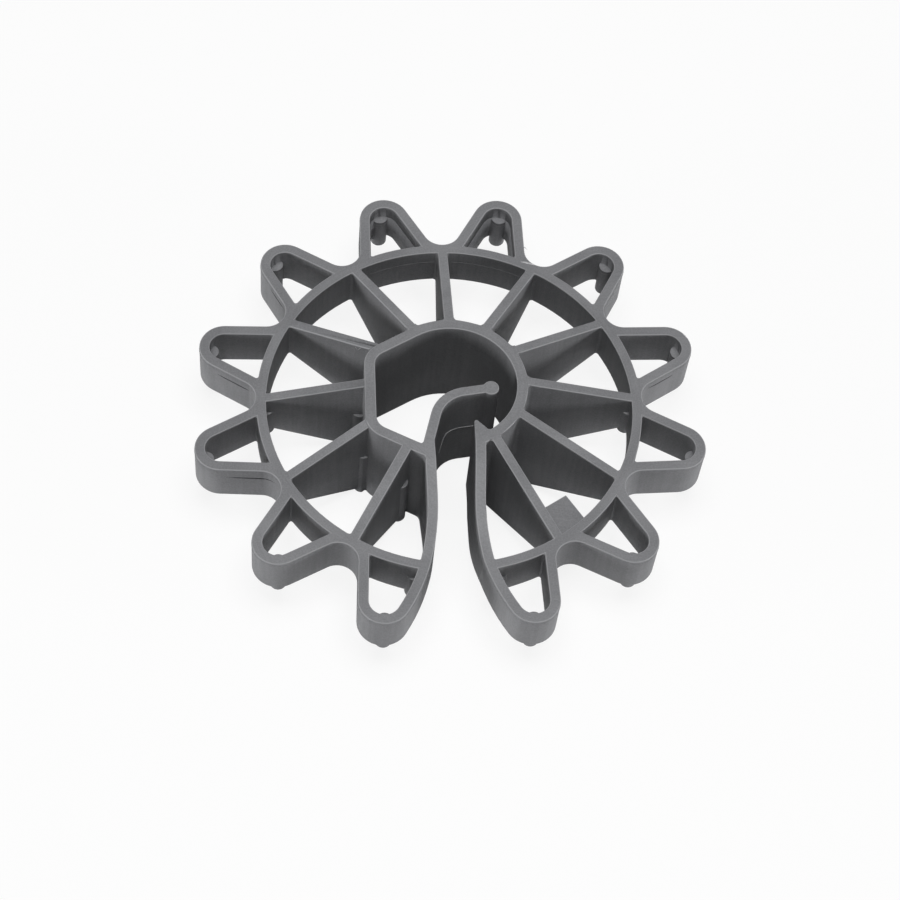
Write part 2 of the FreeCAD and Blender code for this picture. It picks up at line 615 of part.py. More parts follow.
# The lip: a pointed end on the right slot wall, with a rounded notch behind it
def lip():
    mouth = number(mouth_side)
    top = number("Sizes.slot_wall_top")
    point = number("Sizes.lip_radius")
    notch = number("Sizes.notch_radius")
    drop = number("Sizes.lip_drop") + point
    normal = 90 - number("Sizes.lip_slope")
    radius = number(bore_radius)
    tip = (mouth + point, -drop)
    start = step(tip, point + notch, normal)
    hollow = step(start, line_to_circle(start, normal - 90, radius - notch), normal - 90)
    outward = math.degrees(math.atan2(hollow[1], hollow[0]))
    seat = step((0, 0), radius, outward)
    inside = step((0, 0), radius + number("Sizes.hub_wall") / 2, outward)
    root = (number(mouth_wall_middle), -top - wall / 3)

    outline = Outline("lip_outline", lift=mid_height)
    face = outline.line((mouth, -top), (mouth, -drop))
    nose = outline.arc(tip, point, normal, 180)
    slope = outline.line(step(tip, point, normal), step(hollow, notch, normal + 180))
    hollow_arc = outline.arc(hollow, notch, normal + 180, outward + 360)
    spur = outline.line(seat, inside)
    under = outline.line(inside, root)
    foot = outline.line(root, (mouth, -top))
    outline.rule("Vertical", face)
    outline.right_of_axis("face", mouth_side, face, 1)
    outline.below_axis("wall_top", "Sizes.slot_wall_top", face, 1)
    outline.smooth(face, 2, nose, 2)
    outline.drive("point", "Sizes.lip_radius", "Radius", nose)
    outline.below_axis("drop", "Sizes.lip_drop + Sizes.lip_radius", nose, 3)
    outline.smooth(nose, 1, slope, 1)
    outline.drive("slope", "Sizes.lip_radius * sin(Sizes.lip_slope)", "DistanceX", nose, 3, nose, 1)
    outline.smooth(slope, 2, hollow_arc, 1)
    outline.drive("notch", "Sizes.notch_radius", "Radius", hollow_arc)
    outline.join(hollow_arc, 2, spur, 1)
    outline.radial(spur, hollow_arc)
    outline.drive("seat", bore_radius, "Distance", *outline.ORIGIN, spur, 1)
    outline.drive("inside", f"{bore_radius} + Sizes.hub_wall / 2", "Distance", *outline.ORIGIN, spur, 2)
    outline.join(spur, 2, under, 1)
    outline.join(under, 2, foot, 1)
    outline.join(foot, 2, face, 1)
    outline.right_of_axis("root_x", mouth_wall_middle, foot, 1)
    outline.below_axis("root_y", "Sizes.slot_wall_top + Sizes.rim_wall / 3", foot, 1)
    return pad("lip", outline, "Sizes.hub_height")


# Ejector bosses run down from the parting plane and stand a little proud below
def boss_circle(outline, name, radius, centre):
    circle = outline.circle(centre, number(radius))
    outline.drive(name, radius, "Radius", circle)
    return circle


rim_boss_length = f"Sizes.parting_height - {rim_bottom} + Sizes.boss_proud"


def tip_boss():
    reach = "Sizes.overall_diameter / 2 - Sizes.rim_wall"
    turn = f"{pitch} * {(lobe_count - 5) / 2}"
    outline = Outline("tip_boss_outline", lift="Sizes.parting_height", turn=turn)
    circle = boss_circle(outline, "radius", "Sizes.boss_radius", (0, number(reach)))
    outline.rule("PointOnObject", circle, 3, outline.UPRIGHT_AXIS)
    outline.above_axis("reach", reach, circle, 3)
    return pad("tip_boss", outline, rim_boss_length, symmetric=False, downward=True)


# Bosses on the four lobes nearest the slot, which sit at the lowest point of each tip
def slot_side_boss():
    outline = Outline("slot_side_boss_outline", lift="Sizes.parting_height")
    for name, turn in (("end", end_lobe_turn), ("next", f"({end_lobe_turn} + {pitch})")):
        across = f"{tip_centre} * sin({turn})"
        down = f"{tip_centre} * cos({turn}) + Sizes.lobe_tip_radius - Sizes.rim_wall"
        circle = boss_circle(outline, name + "_radius", "Sizes.boss_radius", (number(across), -number(down)))
        outline.right_of_axis(name + "_x", across, circle, 3)
        outline.below_axis(name + "_y", down, circle, 3)
    return pad("slot_side_boss", outline, rim_boss_length, symmetric=False, downward=True)


# Bosses on the ring, beside the slot walls and at the webs that lie across the slot
def ring_boss():
    side_turn = f"(3 * {pitch})"
    corner = f"{slot_side} + Sizes.rim_wall + 1.5 * Sizes.boss_radius"
    corner_x = number(corner)
    corner_y = -math.sqrt(number(ring_middle) ** 2 - corner_x ** 2)
    outline = Outline("ring_boss_outline", lift="Sizes.parting_height")
    at_web = boss_circle(outline, "web_radius", "Sizes.boss_radius", polar(bore, number(side_turn)))
    outline.right_of_axis("web_x", f"{ring_inner} * sin({side_turn})", at_web, 3)
    outline.above_axis("web_y", f"{ring_inner} * cos({side_turn})", at_web, 3)
    at_slot = boss_circle(outline, "slot_radius", "Sizes.boss_radius", (corner_x, corner_y))
    outline.right_of_axis("slot_x", corner, at_slot, 3)
    outline.drive("slot_reach", ring_middle, "Distance", *outline.ORIGIN, at_slot, 3)
    return pad("ring_boss", outline, rim_boss_length, symmetric=False, downward=True)


# Bosses where the flat side's webs meet the hub
def hub_boss(name, turns, reach):
    outline = Outline(name + "_outline", lift="Sizes.parting_height", turn=f"{pitch} * {turns}")
    circle = boss_circle(outline, "radius", "Sizes.boss_radius", (0, number(reach)))
    outline.rule("PointOnObject", circle, 3, outline.UPRIGHT_AXIS)
    outline.above_axis("reach", reach, circle, 3)
    length = "Sizes.parting_height - Sizes.hub_boss_foot"
    return pad(name, outline, length, symmetric=False, downward=True)


# The bare marking tab, in the corner of the ring and the web beside the right end lobe
def marking_tab():
    start = number("Sizes.tab_start")
    width = number("Sizes.tab_width")
    end = number(ring_inner)
    outline = Outline("marking_tab_outline", lift="Sizes.parting_height", turn=f"-5 * {pitch}")
    corners = [(0, start), (0, end), (-width, end), (-width, start)]
    lines = [outline.line(corners[i], corners[(i + 1) % 4]) for i in range(4)]
    for i in range(4):
        outline.join(lines[i], 2, lines[(i + 1) % 4], 1)
    for upright in (0, 2):
        outline.rule("Vertical", lines[upright])
    for level in (1, 3):
        outline.rule("Horizontal", lines[level])
    outline.rule("PointOnObject", lines[0], 1, outline.UPRIGHT_AXIS)
    outline.above_axis("start", "Sizes.tab_start", lines[0], 1)
    outline.above_axis("end", ring_inner, lines[0], 2)
    outline.left_of_axis("width", "Sizes.tab_width", lines[2], 1)
    return pad("marking_tab", outline, "Sizes.tab_thickness", symmetric=False, downward=True)


mirror("end_lobes", end_lobe())
slot_wall_slope()
repeat("lobes", lobe(), lobe_count - 2)
repeat("webs", web("web", f"{pitch} * 3", hub_radius), 9)
repeat("floor_webs", web("floor_web", f"{pitch} * 5", floor_radius), 2)
hub()
bar_space()
tongue()
lip()
repeat("tip_bosses", tip_boss(), lobe_count - 4)
mirror("slot_side_bosses", slot_side_boss())
mirror("ring_bosses", ring_boss())
hub_boss("flat_boss", 3, "Sizes.flat_boss_reach")
hub_boss("corner_boss", 4, "Sizes.corner_boss_reach")
hub_boss("floor_boss", 5, "Sizes.floor_boss_reach")
body.Tip = marking_tab()
doc.recompute()

for item in doc.Objects:
    if "Invalid" in item.State or "Error" in item.State:
        raise RuntimeError(f"{item.Name} did not build: {item.State}")
if body.Shape.isNull() or not body.Shape.isValid() or len(body.Shape.Solids) != 1:
    raise RuntimeError("the spacer is not one valid solid")

os.makedirs("parts", exist_ok=True)
body.Shape.exportStep(f"parts/{body.Label}.step")
box = body.Shape.BoundBox
lengths = f"{box.XLength:.2f} x {box.YLength:.2f} x {box.ZLength:.2f} mm"
print(f"{body.Label}: {lengths}, {body.Shape.Volume:.0f} mm3")
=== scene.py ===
import json
import math

import bmesh
import bpy
from mathutils import Matrix, Vector

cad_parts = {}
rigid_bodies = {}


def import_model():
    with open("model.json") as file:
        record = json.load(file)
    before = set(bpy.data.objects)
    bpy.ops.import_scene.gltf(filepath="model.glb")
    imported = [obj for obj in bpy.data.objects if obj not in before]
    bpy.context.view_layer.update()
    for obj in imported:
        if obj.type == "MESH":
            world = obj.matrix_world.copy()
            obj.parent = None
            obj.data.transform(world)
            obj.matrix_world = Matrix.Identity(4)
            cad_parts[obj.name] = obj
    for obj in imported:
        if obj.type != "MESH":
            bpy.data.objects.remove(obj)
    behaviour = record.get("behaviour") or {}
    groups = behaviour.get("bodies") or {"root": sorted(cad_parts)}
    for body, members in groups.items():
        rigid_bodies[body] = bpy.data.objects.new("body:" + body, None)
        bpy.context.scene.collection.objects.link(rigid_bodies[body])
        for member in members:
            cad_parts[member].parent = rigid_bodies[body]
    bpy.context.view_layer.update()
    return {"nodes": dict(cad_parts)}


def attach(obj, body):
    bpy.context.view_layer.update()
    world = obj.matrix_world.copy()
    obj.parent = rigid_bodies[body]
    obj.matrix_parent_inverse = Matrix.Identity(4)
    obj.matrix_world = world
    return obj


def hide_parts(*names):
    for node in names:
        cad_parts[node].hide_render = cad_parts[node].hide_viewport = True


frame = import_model()
scene = bpy.context.scene
mm = 0.001
print("frame loaded")


# small helpers for objects and meshes

def reachOf(point):
    # distance from the wheel's axis
    return math.hypot(point.x, point.y)


def newObject(name, data):
    made = bpy.data.objects.new(name, data)
    scene.collection.objects.link(made)
    return made


def newMesh(name, edited):
    mesh = bpy.data.meshes.new(name)
    edited.to_mesh(mesh)
    edited.free()
    return mesh


def changeMesh(mesh, change):
    # opens the mesh for one change
    edited = bmesh.new()
    edited.from_mesh(mesh)
    change(edited)
    edited.to_mesh(mesh)
    edited.free()


def turnOutward(edited):
    bmesh.ops.recalc_face_normals(edited, faces=edited.faces)


def plainMesh(source, name):
    # the evaluated object as a mesh with no modifiers left
    bpy.context.view_layer.update()
    evaluated = source.evaluated_get(bpy.context.evaluated_depsgraph_get())
    made = bpy.data.meshes.new_from_object(evaluated)
    made.name = name
    source.modifiers.clear()
    source.data = made
    return made


# small helpers for nodes

def nodeMaker(tree):
    # each input is a plain value, or the socket of another node
    def make(kind, inputs=None, **settings):
        made = tree.nodes.new(kind)
        for key, value in settings.items():
            setattr(made, key, value)
        for key, value in (inputs or {}).items():
            if isinstance(value, bpy.types.NodeSocket):
                tree.links.new(value, made.inputs[key])
            else:
                made.inputs[key].default_value = value
        return made
    return make


def emptiedNodes(owner):
    owner.use_nodes = True
    owner.node_tree.nodes.clear()
    return nodeMaker(owner.node_tree)


def mathMaker(make):
    def work(operation, *values):
        return make("ShaderNodeMath", dict(enumerate(values)), operation=operation).outputs[0]
    return work


def noiseAt(make, place, scale, detail):
    return make("ShaderNodeTexNoise", {"Vector": place, "Scale": scale, "Detail": detail}).outputs["Fac"]


def mixed(make, share, first, second):
    # by the numbers of the sockets, since those for numbers and for colours share their names
    return make("ShaderNodeMix", {0: share, 2: first, 3: second}).outputs[0]


def mixedShade(make, share, first, second):
    return make("ShaderNodeMix", {0: share, 6: first, 7: second}, data_type="RGBA").outputs[2]


def ranged(make, value, source=(0.0, 1.0), target=(0.0, 1.0)):
    return make("ShaderNodeMapRange", {
        "Value": value,
        "From Min": source[0],
        "From Max": source[1],
        "To Min": target[0],
        "To Max": target[1],
    }).outputs["Result"]


# grey moulded plastic

plasticLook = {
    "shade": (0.222, 0.224, 0.233, 1.0),
    "shadeDeep": (0.154, 0.156, 0.164, 1.0),
    # painted highlight: the rounded edges lighter than the faces, as where they catch the light
    "edgeHighlightShade": (0.260, 0.263, 0.272, 1.0),
    "cloudScale": 70.0,        # slow changes of tone, per metre
    "cloudDetail": 4.0,
    "streakScale": (1100.0, 1100.0, 45.0),     # marks drawn down the walls as the mould opened
    "streakDetail": 1.0,
    "acrossLines": 1400.0,     # fine lines along the level faces
    "alongLines": 60.0,
    "lineDetail": 2.0,
    "lineSpread": (0.3, 0.7),  # how strong the marks and lines are
    "hubEdge": 18.8 * mm,      # the lines follow the hub and the ring, and the spokes elsewhere
    "ringEdges": (41.9 * mm, 45.2 * mm),
    "grainScale": 2600.0,      # the mould's fine grain
    "grainDetail": 2.0,
    "grainDepth": 0.03 * mm,
    "relief": 0.5,             # share of that depth that shows
    "speckle": 0.5,            # share of the grain in the tone
    "toneSpan": (0.36, 0.64),  # pattern values that give the deep shade and the full one
    "roughness": (0.55, 0.72),
    "ior": 1.49,
}


def levelLines(make, place, look):
    # noise drawn out along the walls, from polar coordinates about the wheel's axis
    work = mathMaker(make)
    parts = make("ShaderNodeSeparateXYZ", {"Vector": place}).outputs
    squares = [work("MULTIPLY", parts[axis], parts[axis]) for axis in ("X", "Y")]
    reach = work("SQRT", work("ADD", *squares))
    arc = work("MULTIPLY", work("ARCTAN2", parts["Y"], parts["X"]), reach)
    ringStart, ringEnd = look["ringEdges"]
    inHub = work("LESS_THAN", reach, look["hubEdge"])
    inRing = work("MULTIPLY", work("GREATER_THAN", reach, ringStart), work("LESS_THAN", reach, ringEnd))
    circled = work("MAXIMUM", inHub, inRing)
    drawn = make("ShaderNodeCombineXYZ", {
        "X": work("MULTIPLY", mixed(make, circled, arc, reach), look["acrossLines"]),
        "Y": work("MULTIPLY", mixed(make, circled, reach, arc), look["alongLines"]),
    })
    return noiseAt(make, drawn.outputs["Vector"], 1.0, look["lineDetail"])


def plasticMaterial(name, look):
    material = bpy.data.materials.new(name)
    make = emptiedNodes(material)
    work = mathMaker(make)
    place = make("ShaderNodeTexCoord").outputs["Object"]
    stretched = make("ShaderNodeMapping", {"Vector": place, "Scale": look["streakScale"]})
    cloud = noiseAt(make, place, look["cloudScale"], look["cloudDetail"])
    drag = noiseAt(make, stretched.outputs["Vector"], 1.0, look["streakDetail"])
    grain = noiseAt(make, place, look["grainScale"], look["grainDetail"])
    level = make("ShaderNodeAttribute", attribute_name="levelFace").outputs["Fac"]
    lines = mixed(make, level, drag, levelLines(make, place, look))
    streak = ranged(make, lines, target=look["lineSpread"])
    pattern = work("MULTIPLY_ADD", grain, look["speckle"], work("MULTIPLY", cloud, streak))
    spread = ranged(make, pattern, source=look["toneSpan"])
    tone = mixedShade(make, spread, look["shadeDeep"], look["shade"])
    # the rounded edges' share of the painted highlight
    edgeLight = make("ShaderNodeAttribute", attribute_name="edgeHighlight").outputs["Fac"]
    bump = make("ShaderNodeBump", {
        "Height": work("ADD", grain, streak),
        "Strength": look["relief"],
        "Distance": look["grainDepth"],
    })
    shader = make("ShaderNodeBsdfPrincipled", {
        "Base Color": mixedShade(make, edgeLight, tone, look["edgeHighlightShade"]),
        "Roughness": ranged(make, grain, target=look["roughness"]),
        "Normal": bump.outputs["Normal"],
        "IOR": look["ior"],
    })
    make("ShaderNodeOutputMaterial", {"Surface": shader.outputs["BSDF"]})
    return material


greyPlastic = plasticMaterial("greyPlastic", plasticLook)
# pale plastic: real whitening on the scuffs and flash, and a painted highlight on the tongue's line
whiteningAndHighlight = plasticMaterial("whiteningAndHighlight", {
    **plasticLook,
    "shade": (0.62, 0.62, 0.63, 1.0),
    "shadeDeep": (0.36, 0.36, 0.37, 1.0),
})
# near black: painted shade of the grooves that the mould left in the outer walls
grooveShade = plasticMaterial("grooveShade", {
    **plasticLook,
    "shade": (0.034, 0.034, 0.038, 1.0),
    "shadeDeep": (0.020, 0.020, 0.023, 1.0),
})
print("plastic made")


# wheel body: the CAD solid with its edges rounded

bodyForm = {
    "rounding": 0.22 * mm,
    "roundingSteps": 2,
    "edgeAngle": 30,           # degrees between faces that count as an edge
    "sharpAngle": 40,          # steeper ones left after the rounding stay sharp
    "upright": 0.9,            # an upright edge climbs at least this share of its length
    "levelFace": 0.7,          # a level face's normal has at least this much up or down
    "levelRoom": 0.7 * mm,     # an edge is rounded where its faces are at least this wide
    "uprightRoom": 0.6 * mm,
    "tipRoom": 0.46 * mm,      # at the lobe tips
    "tipReach": 52 * mm,
    "longEdge": 4 * mm,        # beside a long level edge the width is read inside its ends
    "insideEnds": 0.3 * mm,
    "pastEnds": 0.1 * mm,      # and beside any other a little past them
    "hubTop": 28 * mm,
    "hubStep": 0.2 * mm,       # shallower steps at the hub's ends are smoothed away
    "stepWidth": 1.0 * mm,
    "weld": 0.002 * mm,
    "sliver": 0.03 * mm,
    "flat": 0.5,               # degrees
}


def weldedCopy(node):
    welded = bmesh.new()
    welded.from_mesh(frame["nodes"][node].data)
    bmesh.ops.remove_doubles(welded, verts=welded.verts, dist=bodyForm["weld"])
    return welded


def smoothedShell():
    # the solid without its shallow hub steps, slivers and flat seams
    shell = weldedCopy("wheel_spacer")
    for end in (0, bodyForm["hubTop"]):
        level = [corner for corner in shell.verts if abs(corner.co.z - end) < bodyForm["weld"]]
        joined = {}
        for corner in shell.verts:
            if bodyForm["weld"] <= abs(corner.co.z - end) < bodyForm["hubStep"]:
                corner.co.z = end
                nearest = min(level, key=lambda other: (other.co - corner.co).length)
                if (nearest.co - corner.co).length < bodyForm["stepWidth"]:
                    joined[corner] = nearest
        bmesh.ops.weld_verts(shell, targetmap=joined)
    bmesh.ops.remove_doubles(shell, verts=shell.verts, dist=bodyForm["sliver"])
    bmesh.ops.dissolve_degenerate(shell, dist=bodyForm["sliver"], edges=shell.edges)
    bmesh.ops.dissolve_limit(
        shell, angle_limit=math.radians(bodyForm["flat"]), verts=shell.verts, edges=shell.edges
    )
    bmesh.ops.dissolve_degenerate(shell, dist=bodyForm["weld"], edges=shell.edges)
    return shell


def climbOf(edge):
    # share of its length that the edge runs up or down
    return abs((edge.verts[1].co - edge.verts[0].co).normalized().z)


def faceRoom(edge, face):
    # how far the face reaches from the edge, read at the corners that lie beside it
    start, end = (corner.co for corner in edge.verts)
    along = (end - start).normalized()
    length = (end - start).length
    longLevel = length > bodyForm["longEdge"] and climbOf(edge) < bodyForm["upright"]
    beyond = -bodyForm["insideEnds"] if longLevel else bodyForm["pastEnds"]
    room = math.inf
    for corner in face.verts:
        if corner not in edge.verts:
            offset = corner.co - start
            travel = offset.dot(along)
            if -beyond < travel < length + beyond:
                room = min(room, (offset - along * travel).length)
    return room


def edgeRoom(edge):
    return min(faceRoom(edge, face) for face in edge.link_faces)


def weighEdges(shell):
    # picks the outer edges that have room for a rounding
    weight = shell.edges.layers.float.new("bevel_weight_edge")
    for edge in shell.edges:
        if edge.calc_face_angle_signed(0) > math.radians(bodyForm["edgeAngle"]):
            needed = bodyForm["levelRoom"]
            if climbOf(edge) > bodyForm["upright"]:
                needed = bodyForm["uprightRoom"]
            elif reachOf(edge.verts[0].co) > bodyForm["tipReach"]:
                needed = bodyForm["tipRoom"]
            edge[weight] = edgeRoom(edge) > needed


def joinCorners(edited):
    # the rounding leaves some corners on top of each other
    bmesh.ops.remove_doubles(edited, verts=edited.verts, dist=bodyForm["weld"])
    bmesh.ops.dissolve_degenerate(edited, dist=bodyForm["weld"], edges=edited.edges)


def roundEdges(body):
    bevel = body.modifiers.new("rounding", "BEVEL")
    bevel.width = bodyForm["rounding"]
    bevel.segments = bodyForm["roundingSteps"]
    bevel.limit_method = "WEIGHT"
    bevel.use_clamp_overlap = False
    bevel.loop_slide = False
    bevel.material = 1         # the second slot tells the rounded edges from the faces
    rounded = plainMesh(body, "wheel_body")
    changeMesh(rounded, joinCorners)
    return rounded


def markHighlightAndLevel(mesh):
    # rounded edges carry a painted highlight, and level faces their own lines
    shares = {
        "edgeHighlight": [float(face.material_index) for face in mesh.polygons],
        "levelFace": [float(abs(face.normal.z) > bodyForm["levelFace"]) for face in mesh.polygons],
    }
    for name, values in shares.items():
        mesh.attributes.new(name, "FLOAT", "FACE").data.foreach_set("value", values)
    for face in mesh.polygons:
        face.material_index = 0
    mesh.materials.pop(index=1)


def wheelBody():
    shell = smoothedShell()
    weighEdges(shell)
    mesh = newMesh("wheel_body", shell)
    body = newObject("wheel_body", mesh)
    mesh.materials.append(greyPlastic)
    # the rounded edges get a painted highlight, lighter than the faces
    mesh.materials.append(greyPlastic)     # for the rounded edges, until markHighlightAndLevel takes it off
    mesh.shade_smooth()
    rounded = roundEdges(body)
    markHighlightAndLevel(rounded)
    rounded.set_sharp_from_angle(angle=math.radians(bodyForm["sharpAngle"]))
    normals = body.modifiers.new("normals", "WEIGHTED_NORMAL")
    normals.keep_sharp = True
    plainMesh(body, "wheel_body")
    return body


body = wheelBody()
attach(body, "root")
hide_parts("wheel_spacer")
print("wheel body:", len(body.data.polygons), "faces")


# small blocks that stand on the body or in its corners

def addBlock(edited, foot, top):
    # closed between two outlines of equally many points
    low = [edited.verts.new(point) for point in foot]
    high = [edited.verts.new(point) for point in top]
    edited.faces.new(low)
    edited.faces.new(high)
    for first in range(len(low)):
        second = (first + 1) % len(low)
        edited.faces.new((low[first], low[second], high[second], high[first]))


def blockPiece(name, edited, sharpAngle):
    turnOutward(edited)
    mesh = newMesh(name, edited)
    mesh.materials.append(greyPlastic)
    mesh.shade_smooth()
    mesh.set_sharp_from_angle(angle=math.radians(sharpAngle))
    return newObject(name, mesh)


# corner fillets: small rounds where two upright walls meet

filletForm = {
    "reach": 0.6 * mm,         # along each wall
    "hubReach": 0.8 * mm,      # rounder in the corners round the hub
    "hubZone": 25 * mm,
    "arcZone": (16.5 * mm, 18 * mm),   # on the hub's round outside the room is read between the corners
    "roomShare": 0.48,         # share of a wall that one fillet may take
    "tightReach": 0.25 * mm,   # beside the narrow faces of a boss
    "narrow": 0.6 * mm,
    "shortest": 2 * mm,        # corners shorter than this have none
    "upright": 0.98,           # share of its length that a corner climbs
    "steps": 4,
    "endGap": 0.12 * mm,
    "sunk": 0.1 * mm,          # into the walls behind the corner
    "sharpAngle": 50,          # degrees
}


def uprightCorner(edge):
    # an edge that runs up between two walls, with the hollow side between them
    upright = edge.calc_length() > filletForm["shortest"] and climbOf(edge) > filletForm["upright"]
    return upright and edge.calc_face_angle_signed(0) < -math.radians(bodyForm["edgeAngle"])


def wallWay(loop):
    # level direction along a wall, away from its corner
    travel = (loop.link_loop_next.vert.co - loop.vert.co).normalized()
    way = loop.face.normal.cross(travel)
    return Vector((way.x, way.y, 0)).normalized()


def filletReach(edge, foot, feet):
    room = edgeRoom(edge)
    if filletForm["arcZone"][0] < reachOf(foot) < filletForm["arcZone"][1]:
        gaps = [(other - foot).length for other in feet]
        room = min(gap for gap in gaps if gap > filletForm["tightReach"])
    if room < filletForm["narrow"]:
        return filletForm["tightReach"]
    size = "hubReach" if reachOf(foot) < filletForm["hubZone"] else "reach"
    return min(filletForm[size], filletForm["roomShare"] * room)


def filletSection(corner, ways, reach):
    # the arc's points from one wall to the other, then one behind the corner
    half = ways[0].angle(ways[1]) / 2
    outward = (ways[0] + ways[1]).normalized()
    middle = corner + outward * (reach / math.cos(half))
    spokes = [corner + way * reach - middle for way in ways]
    turns = [step / filletForm["steps"] for step in range(filletForm["steps"] + 1)]
    arc = [middle + spokes[0].slerp(spokes[1], turn) * spokes[0].length for turn in turns]
    return arc + [corner - outward * filletForm["sunk"]]


def cornerFillets():
    shell = smoothedShell()
    made = bmesh.new()
    corners = [edge for edge in shell.edges if uprightCorner(edge)]
    ends = [sorted((end.co.copy() for end in edge.verts), key=lambda point: point.z) for edge in corners]
    feet = [foot for foot, top in ends]
    gap = Vector((0, 0, filletForm["endGap"]))
    for edge, (foot, top) in zip(corners, ends):
        ways = [wallWay(loop) for loop in edge.link_loops]
        section = filletSection(foot, ways, filletReach(edge, foot, feet))
        along = top - foot
        addBlock(made, [point + gap for point in section], [point + along - gap for point in section])
    shell.free()
    return blockPiece("corner_fillets", made, filletForm["sharpAngle"])


fillets = cornerFillets()
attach(fillets, "root")
print("corner fillets:", len(fillets.data.polygons), "faces")


# boss tops: the bosses in the lobes stand up to the parting ledge

bossForm = {
    "top": 15.5 * mm,          # of the solid's bosses
    "sameHeight": 0.01 * mm,
    "levelFace": 0.99,
    "rise": 0.9 * mm,
    "nearRise": 1.45 * mm,     # in the four lobes beside the slot
    "nearSide": -30 * mm,
    "zone": 50 * mm,           # farther out than this from the axis
}


def bossTops():
    shell = smoothedShell()
    made = bmesh.new()
    for face in shell.faces:
        middle = face.calc_center_median()
        atTop = abs(middle.z - bossForm["top"]) < bossForm["sameHeight"]
        if atTop and face.normal.z > bossForm["levelFace"] and reachOf(middle) > bossForm["zone"]:
            rise = bossForm["nearRise" if middle.y < bossForm["nearSide"] else "rise"]
            outline = [corner.co.copy() for corner in face.verts]
            addBlock(made, outline, [point + Vector((0, 0, rise)) for point in outline])
    shell.free()
    return blockPiece("boss_tops", made, bodyForm["sharpAngle"])


tops = bossTops()
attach(tops, "root")
print("boss tops:", len(tops.data.polygons), "faces")


# thin strips that run along the walls: parting ledges, marks, scuffs and flash

stripForm = {
    "spacing": 0.4 * mm,       # between the points of a line along a wall
    "cutSnap": 0.0001 * mm,
    "rimReach": 58 * mm,       # only the rim's outline comes out farther than this
    "detail": 2.0,             # of the unevenness
    "taperPower": 3.0,         # a higher power thins a strip nearer to its ends
}


def sectionPaths(height):
    # closed outlines of the walls at one height, as lists of points
    shell = weldedCopy("wheel_spacer")
    everything = [*shell.verts, *shell.edges, *shell.faces]
    cut = bmesh.ops.bisect_plane(
        shell, geom=everything, dist=stripForm["cutSnap"], plane_co=(0, 0, height), plane_no=(0, 0, 1)
    )["geom_cut"]
    links = {}
    for edge in cut:
        if isinstance(edge, bmesh.types.BMEdge):
            for near, far in (edge.verts, reversed(edge.verts)):
                links.setdefault(near, []).append(far)
    paths = []
    unseen = set(links)
    for first in links:
        if first in unseen:
            path, step = [], first
            while step:
                unseen.discard(step)
                path.append(step.co.copy())
                step = next((other for other in links[step] if other in unseen), None)
            paths.append(path)
    shell.free()
    return paths


def evenPath(path):
    # points at an even spacing, closed on itself
    even = []
    for start, end in zip(path, path[1:] + path[:1]):
        steps = max(1, round((end - start).length / stripForm["spacing"]))
        even += [start.lerp(end, step / steps) for step in range(steps)]
    return even


def evenPaths(height):
    return [evenPath(path) for path in sectionPaths(height)]


def rimOutline(height):
    return [path for path in evenPaths(height) if max(map(reachOf, path)) > stripForm["rimReach"]]


def lineMesh(paths, chosen=None, closed=True):
    # the parts of the paths whose middles are chosen, as a mesh of edges
    made = bmesh.new()
    for path in paths:
        corners = [made.verts.new(point) for point in path]
        following = corners[1:] + corners[:1] if closed else corners[1:]
        for first, second in zip(corners, following):
            if not chosen or chosen((first.co + second.co) / 2):
                made.edges.new((first, second))
    loose = [corner for corner in made.verts if not corner.link_edges]
    bmesh.ops.delete(made, geom=loose, context="VERTS")
    return newMesh("lines", made)


def stripTree():
    # sweeps a section of four corners along the lines, uneven and thinner toward the ends
    tree = bpy.data.node_groups.new("wallStrip", "GeometryNodeTree")
    tree.interface.new_socket("Geometry", in_out="INPUT", socket_type="NodeSocketGeometry")
    for label in ("reach", "foot", "drop", "ripple", "unevenness", "taper"):
        tree.interface.new_socket(label, in_out="INPUT", socket_type="NodeSocketFloat")
    tree.interface.new_socket("finish", in_out="INPUT", socket_type="NodeSocketMaterial")
    tree.interface.new_socket("Geometry", in_out="OUTPUT", socket_type="NodeSocketGeometry")
    make = nodeMaker(tree)
    work = mathMaker(make)
    given = make("NodeGroupInput").outputs
    curve = make("GeometryNodeMeshToCurve", {"Mesh": given["Geometry"]})
    level = make("GeometryNodeSetCurveNormal", {"Curve": curve.outputs["Curve"]}, mode="Z_UP")
    place = make("GeometryNodeInputPosition").outputs["Position"]
    noise = noiseAt(make, place, given["ripple"], stripForm["detail"])
    uneven = work("MULTIPLY", work("SUBTRACT", noise, 0.5), given["unevenness"])
    share = make("GeometryNodeSplineParameter").outputs["Factor"]
    fromMiddle = work("ABSOLUTE", work("SUBTRACT", work("MULTIPLY", share, 2.0), 1.0))
    taper = work("MULTIPLY", work("POWER", fromMiddle, stripForm["taperPower"]), given["taper"])
    corners = {}
    for number, side, width, drop in (
        (1, -1.0, "foot", given["drop"]),
        (2, 1.0, "foot", given["drop"]),
        (3, 1.0, "reach", 0.0),
        (4, -1.0, "reach", 0.0),
    ):
        point = make("ShaderNodeCombineXYZ", {"X": work("MULTIPLY", given[width], side), "Y": drop})
        corners[f"Point {number}"] = point.outputs["Vector"]
    profile = make("GeometryNodeCurvePrimitiveQuadrilateral", corners, mode="POINTS")
    swept = make("GeometryNodeCurveToMesh", {
        "Curve": level.outputs["Curve"],
        "Profile Curve": profile.outputs["Curve"],
        "Scale": work("SUBTRACT", work("ADD", uneven, 1.0), taper),
        "Fill Caps": True,
    })
    whole = make("GeometryNodeRealizeInstances", {"Geometry": swept.outputs["Mesh"]})
    finished = make("GeometryNodeSetMaterial", {
        "Geometry": whole.outputs["Geometry"],
        "Material": given["finish"],
    })
    make("NodeGroupOutput", {"Geometry": finished.outputs["Geometry"]})
    return tree


wallStrip = stripTree()


